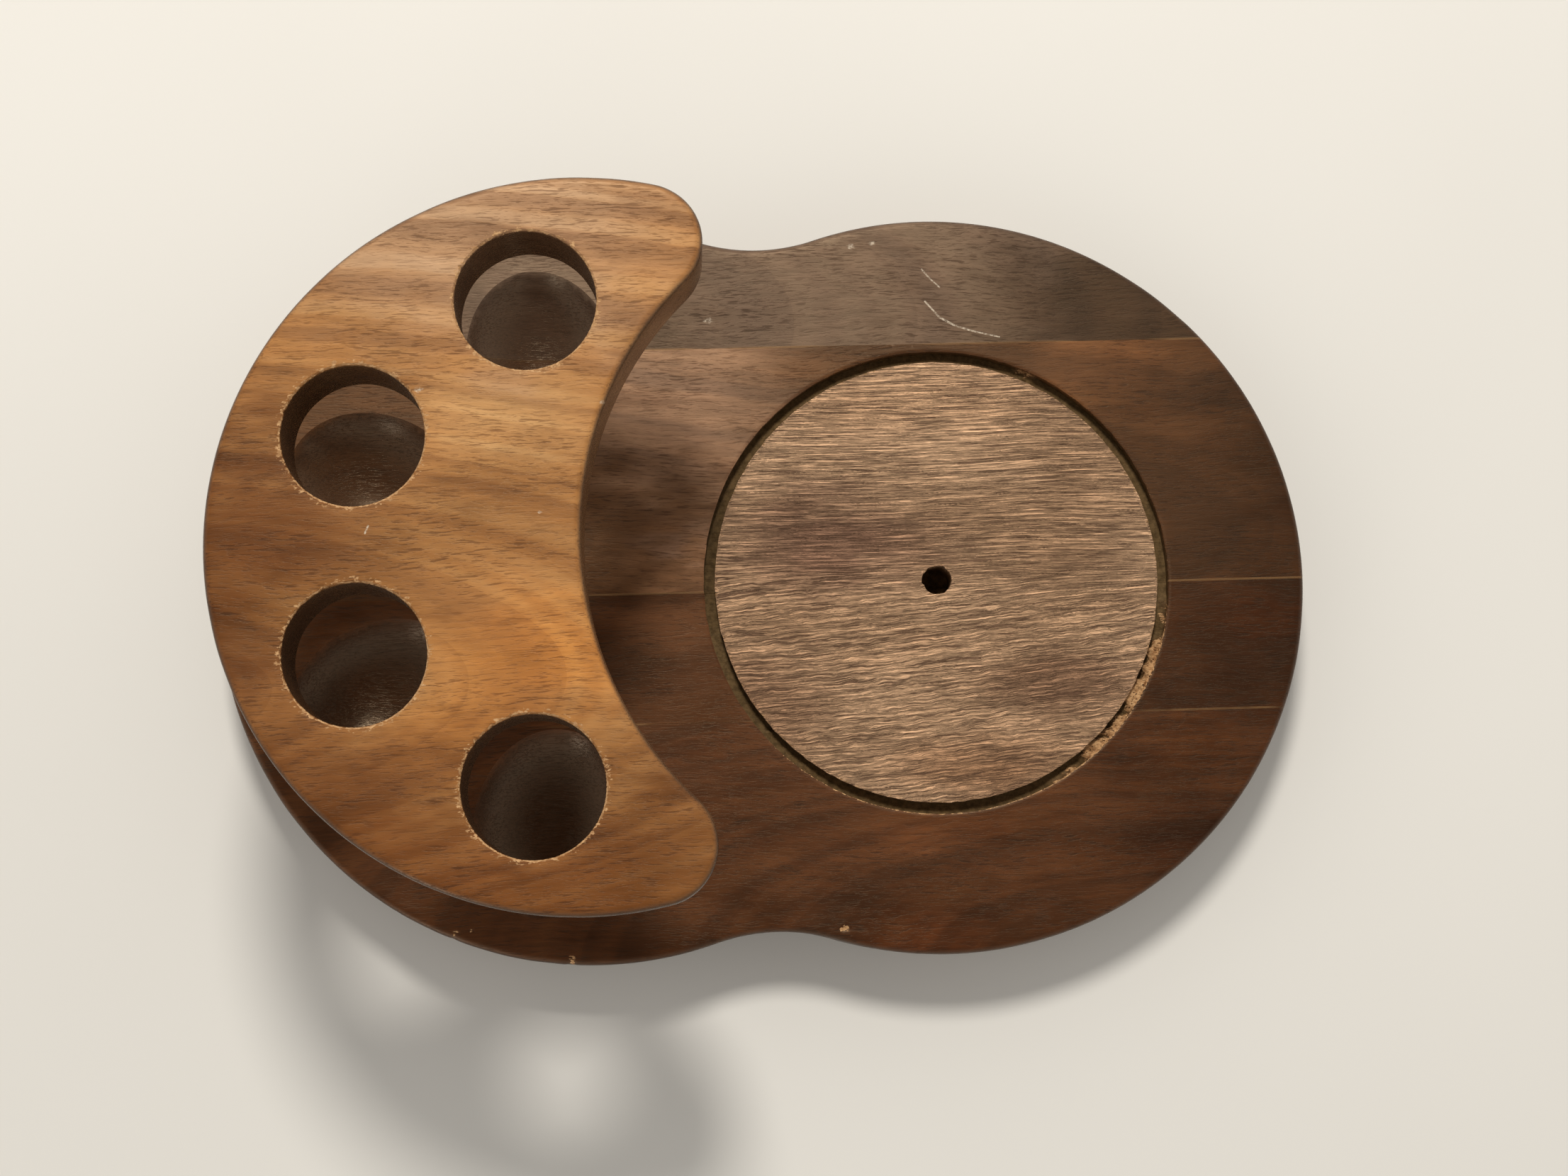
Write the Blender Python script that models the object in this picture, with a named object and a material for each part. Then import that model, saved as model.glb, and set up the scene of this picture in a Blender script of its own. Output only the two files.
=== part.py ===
"""Walnut pipe rack with a jar seat.

A figure-eight base, glued up from boards that run along X, carries a crescent shelf on two turned
posts. The rack lobe (-X) has four dished bowl sockets under the four stem holes of the shelf. The
jar lobe (+X) has a ring groove and a centre pilot hole. Two countersunk screws come up through
the base into the posts.

Frame: metres, +Z up, origin on the underside, midway between the centres of the two lobes.
"""
import math

import bmesh
import bpy
from mathutils import Matrix, Vector

for old in list(bpy.data.objects):
    bpy.data.objects.remove(old, do_unlink=True)

# ---------------------------------------------------------------- driving dimensions (metres)
FIT = 0.0003             # clearance between pieces that touch

LOBE_GAP = 0.0765        # distance between the centres of the two lobes
WAIST_R = 0.042          # fillet where the lobes meet
BASE_T = 0.019           # base thickness
BASE_EASE = 0.0015       # rounding of the base's edges
GLUE_LINES = (-0.0306, -0.0015, 0.0540)    # Y of the glue lines between the base boards

GROOVE_R = 0.0522        # outer radius of the jar's ring groove
GROOVE_W = 0.0025        # groove width
GROOVE_DEEP = 0.0030     # groove depth
JAR_LAND = 0.0308        # base outside the groove
PILOT_D = 0.0066         # pilot hole in the middle of the groove
PILOT_DEEP = 0.0090      # its depth

HOLES = 4                # stem holes, and as many dishes under them
HOLE_D = 0.0278          # stem hole
HOLE_RING_R = 0.0485     # radius of the row of holes about the rack lobe's centre
HOLE_PITCH = 52.2        # angle from one hole to the next, degrees
HOLE_EASE = 0.0004       # eased edge of each hole

DISH_OUT = 0.0045        # the dishes lie this much further out than the holes
DISH_A = 0.0209          # half length of a dish, away from the lobe's centre
DISH_B = 0.0168          # half width of a dish
DISH_DEEP = 0.0090       # dish depth
DISH_CURVE = 0.0196      # height of the half egg that cuts the dish
DISH_RIM = 0.0091        # base outside the dishes

SHELF_T = 0.018          # shelf thickness
SHELF_EASE = 0.0016      # rounding of the shelf's edges
SHELF_RIM = 0.0100       # shelf outside the holes
SCOOP_LAND = 0.0090      # shelf between the end holes and the scooped edge
SCOOP_SHIFT = 0.0055     # the scoop's centre lies this far from the jar's, toward the rack
HORN_R = 0.0117          # round ends of the crescent

POST_D = 0.0160          # post diameter
POST_H = 0.0534          # post length between its shoulders
POST_IN = 0.0168         # posts stand this far to -X of the rack lobe's centre
POST_SIDE = 0.0180       # and this far to either side of the middle
POST_EASE = 0.0008       # eased shoulder edge
TENON_D = 0.0100         # tenon at the top of a post
TENON_H = 0.0100         # tenon length

SCREW_D = 0.0042         # screw shank
SCREW_HEAD_D = 0.0082    # screw head
SCREW_HEAD_H = 0.0026    # height of its cone
SCREW_SINK = 0.0006      # the head lies this far above the underside
SCREW_REACH = 0.0160     # how far the screw goes into the post
SCREW_POINT = 0.0040     # length of its point
SLOT_W = 0.0010          # driver slot
SLOT_DEEP = 0.0010

# ---------------------------------------------------------------- places that follow from them
RACK_X = -LOBE_GAP / 2
JAR_X = LOBE_GAP / 2
DISH_RING_R = HOLE_RING_R + DISH_OUT
RACK_R = DISH_RING_R + DISH_A + DISH_RIM
JAR_R = GROOVE_R + JAR_LAND
HOLE_R = HOLE_D / 2
SHELF_R = HOLE_RING_R + HOLE_R + SHELF_RIM
SCOOP_X = JAR_X - SCOOP_SHIFT
HOLE_ANGLES = [180 + HOLE_PITCH * (i - (HOLES - 1) / 2) for i in range(HOLES)]
POST_Z = BASE_T + FIT
SHELF_Z = POST_Z + POST_H + FIT
SHELF_TOP = SHELF_Z + SHELF_T
POST_XY = [(RACK_X - POST_IN, POST_SIDE), (RACK_X - POST_IN, -POST_SIDE)]


def polar(radius, degrees, cx=RACK_X):
    a = math.radians(degrees)
    return Vector((cx + radius * math.cos(a), radius * math.sin(a), 0))


END_HOLE = polar(HOLE_RING_R, HOLE_ANGLES[0])
SCOOP_R = (END_HOLE - Vector((SCOOP_X, 0, 0))).length - HOLE_R - SCOOP_LAND


# ---------------------------------------------------------------- helpers
def material(name, rgb, rough, metallic=0.0):
    m = bpy.data.materials.new(name)
    m.use_nodes = True
    b = m.node_tree.nodes["Principled BSDF"]
    b.inputs["Base Color"].default_value = (*rgb, 1)
    b.inputs["Roughness"].default_value = rough
    b.inputs["Metallic"].default_value = metallic
    return m


def add(name, bm, mat=None, smooth=30, loc=(0, 0, 0)):
    """Close the bmesh into a named object, faces out."""
    bmesh.ops.remove_doubles(bm, verts=bm.verts, dist=1e-7)
    bmesh.ops.recalc_face_normals(bm, faces=bm.faces)
    me = bpy.data.meshes.new(name)
    bm.to_mesh(me)
    bm.free()
    ob = bpy.data.objects.new(name, me)
    bpy.context.scene.collection.objects.link(ob)
    ob.location = loc
    if mat:
        me.materials.append(mat)
        me.shade_smooth()
        me.set_sharp_from_angle(angle=math.radians(smooth))
    return ob


def cutter(name, bm, loc=(0, 0, 0)):
    ob = add(name, bm, loc=loc)
    ob.hide_render = True
    ob.display_type = 'WIRE'
    return ob


def cut(ob, tool, operation='DIFFERENCE'):
    m = ob.modifiers.new(tool.name, 'BOOLEAN')
    m.operation = operation
    m.object = tool
    m.solver = 'EXACT'


def meet(c1, r1, c2, r2):
    """Upper meeting point of two circles whose centres are on the X axis."""
    d = c2 - c1
    a = (r1 * r1 - r2 * r2 + d * d) / (2 * d)
    return Vector((c1 + a, math.sqrt(r1 * r1 - a * a), 0))


def arc(centre, radius, start, end, step=5.0, hollow=False):
    """Points and outward directions along an arc, its last point left to the next arc."""
    n = max(3, math.ceil(abs(end - start) / step))
    out = []
    for i in range(n):
        a = math.radians(start + (end - start) * i / n)
        d = Vector((math.cos(a), math.sin(a), 0))
        out.append((Vector(centre) + d * radius, -d if hollow else d))
    return out


def heading(origin, target):
    d = Vector(target) - Vector(origin)
    return math.degrees(math.atan2(d.y, d.x))


def eased_slab(outline, z0, z1, ease, steps=3):
    """A slab over an outline of points and outward directions, its two edges rounded."""
    bm = bmesh.new()
    levels = []
    for i in range(steps + 1):
        a = math.pi / 2 * i / steps
        levels.append((ease * (1 - math.sin(a)), z0 + ease * (1 - math.cos(a))))
    levels += [(inset, z0 + z1 - z) for inset, z in reversed(levels)]
    loops = []
    for inset, z in levels:
        loops.append([bm.verts.new((*(p - d * inset).xy, z)) for p, d in outline])
    n = len(outline)
    for low, high in zip(loops, loops[1:]):
        for i in range(n):
            j = (i + 1) % n
            bm.faces.new((low[i], low[j], high[j], high[i]))
    bm.faces.new(list(reversed(loops[0])))
    bm.faces.new(loops[-1])
    return bm


def turned(profile, segments=32, cx=0.0, cy=0.0):
    """A solid turned about the vertical at (cx, cy) from (radius, z) points, bottom to top."""
    bm = bmesh.new()
    rings = []
    for r, z in profile:
        if r == 0:
            rings.append([bm.verts.new((cx, cy, z))])
        else:
            rings.append([bm.verts.new((cx + r * math.cos(2 * math.pi * i / segments),
                                        cy + r * math.sin(2 * math.pi * i / segments), z))
                          for i in range(segments)])
    for a, b in zip(rings, rings[1:]):
        for i in range(segments):
            j = (i + 1) % segments
            if len(a) == 1:
                bm.faces.new((a[0], b[j], b[i]))
            elif len(b) == 1:
                bm.faces.new((a[i], a[j], b[0]))
            else:
                bm.faces.new((a[i], a[j], b[j], b[i]))
    for ring, flip in ((rings[0], True), (rings[-1], False)):
        if len(ring) > 1:
            bm.faces.new(list(reversed(ring)) if flip else ring)
    return bm


def block(x0, x1, y0, y1, z0, z1):
    bm = bmesh.new()
    size = Matrix.Diagonal((x1 - x0, y1 - y0, z1 - z0, 1))
    move = Matrix.Translation(((x0 + x1) / 2, (y0 + y1) / 2, (z0 + z1) / 2))
    bmesh.ops.create_cube(bm, size=1, matrix=move @ size)
    return bm


# ---------------------------------------------------------------- outlines
def base_outline():
    waist = meet(RACK_X, RACK_R + WAIST_R, JAR_X, JAR_R + WAIST_R)
    to_jar = heading((JAR_X, 0, 0), waist)
    to_rack = heading((RACK_X, 0, 0), waist)
    low = waist.copy()
    low.y = -low.y
    return (arc((JAR_X, 0, 0), JAR_R, -to_jar, to_jar)
            + arc(waist, WAIST_R, to_jar - 180, to_rack - 180, hollow=True)
            + arc((RACK_X, 0, 0), RACK_R, to_rack, 360 - to_rack)
            + arc(low, WAIST_R, 180 - to_rack, 180 - to_jar, hollow=True))


def shelf_outline():
    horn = meet(RACK_X, SHELF_R - HORN_R, SCOOP_X, SCOOP_R + HORN_R)
    low = horn.copy()
    low.y = -low.y
    out = heading((RACK_X, 0, 0), horn)
    scoop = heading((SCOOP_X, 0, 0), horn)
    return (arc((RACK_X, 0, 0), SHELF_R, out, 360 - out)
            + arc(low, HORN_R, -out, 180 - scoop, step=12)
            + arc((SCOOP_X, 0, 0), SCOOP_R, 360 - scoop, scoop, hollow=True)
            + arc(horn, HORN_R, scoop - 180, out, step=12))


# ---------------------------------------------------------------- materials
walnut = [material(f"walnut board {i + 1}", rgb, 0.42) for i, rgb in enumerate((
    (0.085, 0.036, 0.019), (0.100, 0.046, 0.025), (0.092, 0.040, 0.021), (0.075, 0.040, 0.027)))]
shelf_walnut = material("shelf walnut", (0.32, 0.165, 0.070), 0.38)
post_walnut = material("post walnut", (0.085, 0.038, 0.020), 0.40)
steel = material("screw steel", (0.55, 0.54, 0.50), 0.35, metallic=1.0)

# ---------------------------------------------------------------- cutters for the base
groove_tool = cutter("cut_groove", turned(
    [(GROOVE_R, BASE_T - GROOVE_DEEP), (GROOVE_R, BASE_T + 0.002)], 72, JAR_X))
core = cutter("cut_core", turned(
    [(GROOVE_R - GROOVE_W, BASE_T - GROOVE_DEEP - 0.002), (GROOVE_R - GROOVE_W, BASE_T + 0.004)],
    72, JAR_X))
cut(groove_tool, core)

pilot_tool = cutter("cut_pilot", turned(
    [(0, BASE_T - PILOT_DEEP - PILOT_D / 4), (PILOT_D / 2, BASE_T - PILOT_DEEP),
     (PILOT_D / 2, BASE_T + 0.002)], 24, JAR_X))

dish_tools = []
DISH_LIFT = DISH_CURVE - DISH_DEEP
swell = math.sqrt(1 - (DISH_LIFT / DISH_CURVE) ** 2)
for k, angle in enumerate(HOLE_ANGLES):
    egg = bmesh.new()
    bmesh.ops.create_uvsphere(egg, u_segments=40, v_segments=20, radius=1)
    bmesh.ops.scale(egg, vec=(DISH_A / swell, DISH_B / swell, DISH_CURVE), verts=egg.verts)
    bmesh.ops.rotate(egg, matrix=Matrix.Rotation(math.radians(angle), 3, 'Z'), verts=egg.verts)
    place = polar(DISH_RING_R, angle)
    place.z = BASE_T + DISH_LIFT
    dish_tools.append(cutter(f"cut_dish_{k + 1}", egg, loc=place))

screw_tools = []
HEAD_Z = SCREW_SINK
for k, (px, py) in enumerate(POST_XY):
    r_shank = SCREW_D / 2 + FIT
    r_head = SCREW_HEAD_D / 2 + FIT
    screw_tools.append(cutter(f"cut_screw_{k + 1}", turned(
        [(r_head, -0.002), (r_head, HEAD_Z), (r_shank, HEAD_Z + SCREW_HEAD_H + FIT),
         (r_shank, BASE_T + 0.002)], 24, px, py)))

# ---------------------------------------------------------------- base boards
reach = RACK_R + JAR_R + LOBE_GAP
edges = [-reach, *GLUE_LINES, reach]
for k, (y0, y1) in enumerate(zip(edges, edges[1:])):
    board = add(f"base_board_{k + 1}", eased_slab(base_outline(), 0, BASE_T, BASE_EASE), walnut[k])
    strip = cutter(f"keep_board_{k + 1}", block(-reach, reach, y0 + FIT / 2, y1 - FIT / 2,
                                               -0.01, BASE_T + 0.01))
    cut(board, strip, 'INTERSECT')
    spans = [(groove_tool, 0, GROOVE_R), (pilot_tool, 0, PILOT_D / 2)]
    spans += [(t, t.location.y, DISH_A) for t in dish_tools]
    spans += [(t, py, SCREW_HEAD_D) for t, (px, py) in zip(screw_tools, POST_XY)]
    for tool, y, half in spans:
        if y + half > y0 and y - half < y1:
            cut(board, tool)

# ---------------------------------------------------------------- shelf
shelf = add("shelf", eased_slab(shelf_outline(), SHELF_Z, SHELF_TOP, SHELF_EASE), shelf_walnut)
for k, angle in enumerate(HOLE_ANGLES):
    c = polar(HOLE_RING_R, angle)
    wide = HOLE_R + HOLE_EASE
    cut(shelf, cutter(f"cut_hole_{k + 1}", turned(
        [(wide, SHELF_Z - 0.002), (wide, SHELF_Z), (HOLE_R, SHELF_Z + HOLE_EASE),
         (HOLE_R, SHELF_TOP - HOLE_EASE), (wide, SHELF_TOP), (wide, SHELF_TOP + 0.002)],
        48, c.x, c.y)))
for k, (px, py) in enumerate(POST_XY):
    r = TENON_D / 2 + FIT
    cut(shelf, cutter(f"cut_mortise_{k + 1}", turned(
        [(r, SHELF_Z - 0.002), (r, POST_Z + POST_H + TENON_H + FIT)], 32, px, py)))

# ---------------------------------------------------------------- posts and screws
for k, (px, py) in enumerate(POST_XY):
    r, t = POST_D / 2, TENON_D / 2
    top = POST_Z + POST_H
    post = add(f"post_{k + 1}", turned(
        [(r - POST_EASE, POST_Z), (r, POST_Z + POST_EASE), (r, top - POST_EASE),
         (r - POST_EASE, top), (t, top), (t, top + TENON_H - POST_EASE),
         (t - POST_EASE, top + TENON_H)], 32, px, py), post_walnut)
    bore = SCREW_D / 2 + FIT
    tip = BASE_T + SCREW_REACH
    cut(post, cutter(f"cut_post_bore_{k + 1}", turned(
        [(bore, POST_Z - 0.002), (bore, tip - SCREW_POINT + FIT), (0, tip + 2 * FIT)],
        24, px, py)))

    s = SCREW_D / 2
    screw = add(f"screw_{k + 1}", turned(
        [(SCREW_HEAD_D / 2, HEAD_Z), (s, HEAD_Z + SCREW_HEAD_H), (s, tip - SCREW_POINT),
         (0, tip)], 24, px, py), steel)
    cut(screw, cutter(f"cut_slot_{k + 1}", block(
        px - SCREW_HEAD_D, px + SCREW_HEAD_D, py - SLOT_W / 2, py + SLOT_W / 2,
        HEAD_Z - 0.001, HEAD_Z + SLOT_DEEP)))
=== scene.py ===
"""Looks of the walnut pipe rack: finely modelled walnut boards, crescent shelf and posts.

Shapes are worked out in millimetres, in the same frame as the CAD, and scaled to metres when a
piece is made. Every size repeats the part's own. The screws keep their CAD meshes.
"""
import math

import bmesh
import bpy
import numpy as np
from mathutils import Matrix, Vector, kdtree
from mathutils.geometry import delaunay_2d_cdt


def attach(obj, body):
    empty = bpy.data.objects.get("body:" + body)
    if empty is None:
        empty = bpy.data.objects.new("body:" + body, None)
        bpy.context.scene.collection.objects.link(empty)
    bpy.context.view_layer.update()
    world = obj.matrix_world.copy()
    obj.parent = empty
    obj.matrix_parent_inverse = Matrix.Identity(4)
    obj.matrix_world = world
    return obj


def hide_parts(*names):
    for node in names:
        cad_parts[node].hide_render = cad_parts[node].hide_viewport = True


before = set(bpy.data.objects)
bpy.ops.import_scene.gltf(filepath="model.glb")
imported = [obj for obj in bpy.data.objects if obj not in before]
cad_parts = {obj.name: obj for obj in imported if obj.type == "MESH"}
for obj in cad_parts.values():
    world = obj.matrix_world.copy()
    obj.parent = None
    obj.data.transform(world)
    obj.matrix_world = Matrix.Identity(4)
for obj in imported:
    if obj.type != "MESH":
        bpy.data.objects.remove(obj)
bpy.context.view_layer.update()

# ---------------------------------------------------------------- sizes (mm), as in the part
MM = 0.001
LOBE_GAP, WAIST_R = 76.5, 42.0
BASE_T, BASE_EASE = 19.0, 1.5
GLUE_LINES = (-30.6, -1.5, 54.0)
GROOVE_R, GROOVE_W, GROOVE_DEEP, JAR_LAND = 52.2, 2.5, 3.0, 30.8
PILOT_R, PILOT_DEEP = 3.3, 9.0
HOLE_R, HOLE_RING_R, HOLE_PITCH, HOLE_EASE = 13.9, 48.5, 52.2, 0.4
DISH_OUT, DISH_A, DISH_B, DISH_DEEP, DISH_CURVE, DISH_RIM = 4.5, 20.9, 16.8, 9.0, 19.6, 9.1
SHELF_T, SHELF_EASE, SHELF_RIM = 18.0, 1.6, 10.0
SCOOP_LAND, SCOOP_SHIFT, HORN_R = 9.0, 5.5, 11.7
POST_R, POST_H, POST_IN, POST_SIDE, POST_EASE = 8.0, 53.4, 16.8, 18.0, 0.8
TENON_R, TENON_H = 5.0, 10.0
SCREW_R, SCREW_HEAD_R, SCREW_HEAD_H, SCREW_SINK = 2.1, 4.1, 2.6, 0.6
SCREW_REACH, SCREW_POINT = 16.0, 4.0
FIT = 0.3
STEP = 0.9     # from point to point of an outline
HAIR = 0.02    # half of the gap kept between glued boards

RACK_X, JAR_X = -LOBE_GAP / 2, LOBE_GAP / 2
DISH_RING_R = HOLE_RING_R + DISH_OUT
RACK_R = DISH_RING_R + DISH_A + DISH_RIM
JAR_R = GROOVE_R + JAR_LAND
SHELF_R = HOLE_RING_R + HOLE_R + SHELF_RIM
SCOOP_X = JAR_X - SCOOP_SHIFT
ANGLES = [180 + HOLE_PITCH * (i - 1.5) for i in range(4)]
POST_Z = BASE_T + FIT
SHELF_Z = POST_Z + POST_H + FIT
SHELF_TOP = SHELF_Z + SHELF_T
POST_XY = [(RACK_X - POST_IN, POST_SIDE), (RACK_X - POST_IN, -POST_SIDE)]


def polar(radius, degrees, cx=RACK_X):
    a = math.radians(degrees)
    return np.array((cx + radius * math.cos(a), radius * math.sin(a)))


HOLES = [polar(HOLE_RING_R, a) for a in ANGLES]
SCOOP_R = math.dist(HOLES[0], (SCOOP_X, 0)) - HOLE_R - SCOOP_LAND


# ---------------------------------------------------------------- outlines
def meet(c1, r1, c2, r2):
    """Upper meeting point of two circles whose centres are on the X axis."""
    d = c2 - c1
    a = (r1 * r1 - r2 * r2 + d * d) / (2 * d)
    return np.array((c1 + a, math.sqrt(r1 * r1 - a * a)))


def arc(centre, radius, start, end, step=STEP, hollow=False):
    """Rows of x, y and outward direction along an arc, its last point left to the next arc."""
    n = max(8, math.ceil(abs(math.radians(end - start)) * radius / step))
    a = np.radians(start + (end - start) * np.arange(n) / n)
    d = np.column_stack((np.cos(a), np.sin(a)))
    return np.hstack((np.asarray(centre) + d * radius, -d if hollow else d))


def circle(cx, cy, r, step):
    return arc((cx, cy), r, 0, 360, step)


def drawn_in(outline, distance):
    """The outline moved inwards; its directions stay."""
    inset = outline.copy()
    inset[:, :2] -= outline[:, 2:] * distance
    return inset


def heading(origin, target):
    return math.degrees(math.atan2(target[1] - origin[1], target[0] - origin[0]))


def base_outline():
    waist = meet(RACK_X, RACK_R + WAIST_R, JAR_X, JAR_R + WAIST_R)
    to_jar, to_rack = heading((JAR_X, 0), waist), heading((RACK_X, 0), waist)
    low = waist * (1, -1)
    return np.vstack((arc((JAR_X, 0), JAR_R, -to_jar, to_jar),
                      arc(waist, WAIST_R, to_jar - 180, to_rack - 180, hollow=True),
                      arc((RACK_X, 0), RACK_R, to_rack, 360 - to_rack),
                      arc(low, WAIST_R, 180 - to_rack, 180 - to_jar, hollow=True)))


def shelf_outline():
    horn = meet(RACK_X, SHELF_R - HORN_R, SCOOP_X, SCOOP_R + HORN_R)
    low = horn * (1, -1)
    out, scoop = heading((RACK_X, 0), horn), heading((SCOOP_X, 0), horn)
    return np.vstack((arc((RACK_X, 0), SHELF_R, out, 360 - out),
                      arc(low, HORN_R, -out, 180 - scoop, 0.6),
                      arc((SCOOP_X, 0), SCOOP_R, 360 - scoop, scoop, hollow=True),
                      arc(horn, HORN_R, scoop - 180, out, 0.6)))


# ---------------------------------------------------------------- noise and meshes
def noise(x, y, seed):
    """Smooth value noise from -1 to 1 on arrays; one unit is one cell."""
    table = np.random.default_rng(seed).uniform(-1, 1, (256, 256))
    x, y = np.broadcast_arrays(np.asarray(x, float), np.asarray(y, float))
    i, j = np.floor(x).astype(int), np.floor(y).astype(int)
    u, v = x - i, y - j
    u, v = u * u * (3 - 2 * u), v * v * (3 - 2 * v)
    i, j, i1, j1 = i % 256, j % 256, (i + 1) % 256, (j + 1) % 256
    return ((table[i, j] * (1 - u) + table[i1, j] * u) * (1 - v)
            + (table[i, j1] * (1 - u) + table[i1, j1] * u) * v)


def smooth(lo, hi, x):
    t = np.clip((np.asarray(x, float) - lo) / (hi - lo), 0, 1)
    return t * t * (3 - 2 * t)


def lattice(box, dx, dy, seed, keep):
    """A shaken grid of points over a box (x0, x1, y0, y1), those that keep picks."""
    x0, x1, y0, y1 = box
    rng = np.random.default_rng(seed)
    x, y = np.meshgrid(np.arange(x0, x1, dx, float), np.arange(y0, y1, dy, float))
    x[1::2] += dx / 2
    x = x + rng.uniform(-0.2, 0.2, x.shape) * dx
    y = y + rng.uniform(-0.2, 0.2, y.shape) * dy
    q = np.column_stack((x.ravel(), y.ravel()))
    return q[keep(q)]


def triangulate(loops, grids):
    """Constrained Delaunay triangles over closed loops and loose points that keep clear of them."""
    points, edges = [], []
    for loop in loops:
        k, n = len(points), len(loop)
        points += loop[:, :2].tolist()
        edges += [(k + i, k + (i + 1) % n) for i in range(n)]
    tree = kdtree.KDTree(len(points))
    for i, p in enumerate(points):
        tree.insert((*p, 0), i)
    tree.balance()
    for pts, gap in grids:
        points += [p for p in pts.tolist() if tree.find((*p, 0))[2] > gap]
    v, _, f, *_ = delaunay_2d_cdt([Vector(p) for p in points], edges, [], 0, 1e-6)
    p, t = np.array([tuple(a) for a in v]), np.array(f)
    a, b, c = p[t[:, 0]], p[t[:, 1]], p[t[:, 2]]
    turn = (b[:, 0] - a[:, 0]) * (c[:, 1] - a[:, 1]) - (b[:, 1] - a[:, 1]) * (c[:, 0] - a[:, 0])
    t[turn < 0] = t[turn < 0][:, ::-1]
    return p, t[abs(turn) > 1e-9]


def inside(loop, q):
    """Which points q lie inside a closed loop."""
    a, b = loop[:, :2], np.roll(loop[:, :2], -1, axis=0)
    hit = np.zeros(len(q), bool)
    for (ax, ay), (bx, by) in zip(a, b):
        if ay != by:
            cross = (ay > q[:, 1]) != (by > q[:, 1])
            hit ^= cross & (q[:, 0] < (bx - ax) * (q[:, 1] - ay) / (by - ay) + ax)
    return hit


def nearest(q, centres):
    """Distance from each point to the nearest centre."""
    return np.min([np.hypot(q[:, 0] - x, q[:, 1] - y) for x, y in centres], axis=0)


def kinds(p, tris, outline, *regions):
    """Each triangle's kind: -1 outside the outline, else that of its last region, or 0."""
    mid = p[tris].mean(1)
    kind = np.where(inside(outline, mid), 0, -1)
    for loop, k in regions:
        kind[inside(loop, mid)] = k
    return kind


def loop_ids(ids, loops):
    """The points of each loop, in the order in which the loops were triangulated."""
    ends = np.cumsum([len(loop) for loop in loops])
    return np.split(ids[:ends[-1]], ends[:-1])


def side_rows(ease, bottom, top, upper, heights):
    """(distance in, z) of the rows below a face: rounded edge, side and lower rounded edge.

    upper holds the angles stepped through on the upper edge, heights the rows along the side."""
    def corner(degrees, end, sign):
        t = math.radians(degrees)
        return ease * (1 - math.cos(t)), end + sign * ease * (1 - math.sin(t))
    return ([corner(90 - a, top, -1) for a in upper] + [(0, bottom + z) for z in heights]
            + [corner(a, bottom, 1) for a in (0, 30, 60)])


def painted(n, bare=0.0, rim=0.0, open_=0.0, relief=0.0):
    """Paint for n points, each of its four channels a number or an array."""
    return np.column_stack([np.broadcast_to(v, n) for v in (bare, rim, open_, relief)])


class Shell:
    """Points, their paint (bare, rim, open, relief) and faces of one closed piece, in mm."""

    def __init__(self):
        self.co, self.paint, self.faces, self.n = [], [], [], 0

    def points(self, xy, z, paint):
        co = np.column_stack((xy, np.broadcast_to(z, len(xy))))
        self.co.append(co)
        self.paint.append(np.broadcast_to(paint, (len(co), 4)))
        self.n += len(co)
        return np.arange(self.n - len(co), self.n)

    def below(self, ring, xy, z, paint):
        """A new ring of points beneath the last one, joined to it."""
        new = self.points(xy, z, paint)
        self.strip(new, ring)
        return new

    def strip(self, low, high):
        """Quads between two closed rings that run anticlockwise, facing out when low is beneath."""
        for i in range(len(low)):
            j = (i + 1) % len(low)
            self.faces.append((low[i], low[j], high[j], high[i]))

    def terrace(self, p, tris, kind, levels, flip=False):
        """Triangles at the height of their kind, walls where kinds meet; kind -1 is left out.

        levels holds, for each kind, the function that gives its points' heights and paint."""
        index = {}
        for k in sorted(set(kind[kind >= 0].tolist())):
            used = np.unique(tris[kind == k])
            z, paint = levels[k](p[used])
            index[k] = np.full(len(p), -1)
            index[k][used] = self.points(p[used], z, paint)
            faces = index[k][tris[kind == k]]
            self.faces += (faces[:, ::-1] if flip else faces).tolist()
        half = {}
        for (a, b, c), k in zip(tris.tolist(), kind.tolist()):
            if k >= 0:
                half[a, b] = half[b, c] = half[c, a] = k
        for (a, b), k in half.items():
            other = half.get((b, a), -1)
            if k < other:
                wall = (index[k][b], index[k][a], index[other][a], index[other][b])
                self.faces.append(wall[::-1] if flip else wall)
        return index

    def mesh(self, name):
        me = bpy.data.meshes.new(name)
        co, paint = np.vstack(self.co), np.vstack(self.paint)
        me.from_pydata(co.tolist(), [], [[int(i) for i in f] for f in self.faces])
        layer = me.attributes.new("paint", "FLOAT_COLOR", "POINT")
        layer.data.foreach_set("color", paint.astype(np.float32).ravel())
        return me


MERGE, ON_PLANE = 0.002, 1e-4    # mm: points that become one, and points that count as on a cut
SHARP = math.radians(32)         # edges that turn more than this are shaded sharp


def place(name, data):
    ob = bpy.data.objects.new(name, data)
    bpy.context.scene.collection.objects.link(ob)
    return ob


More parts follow.
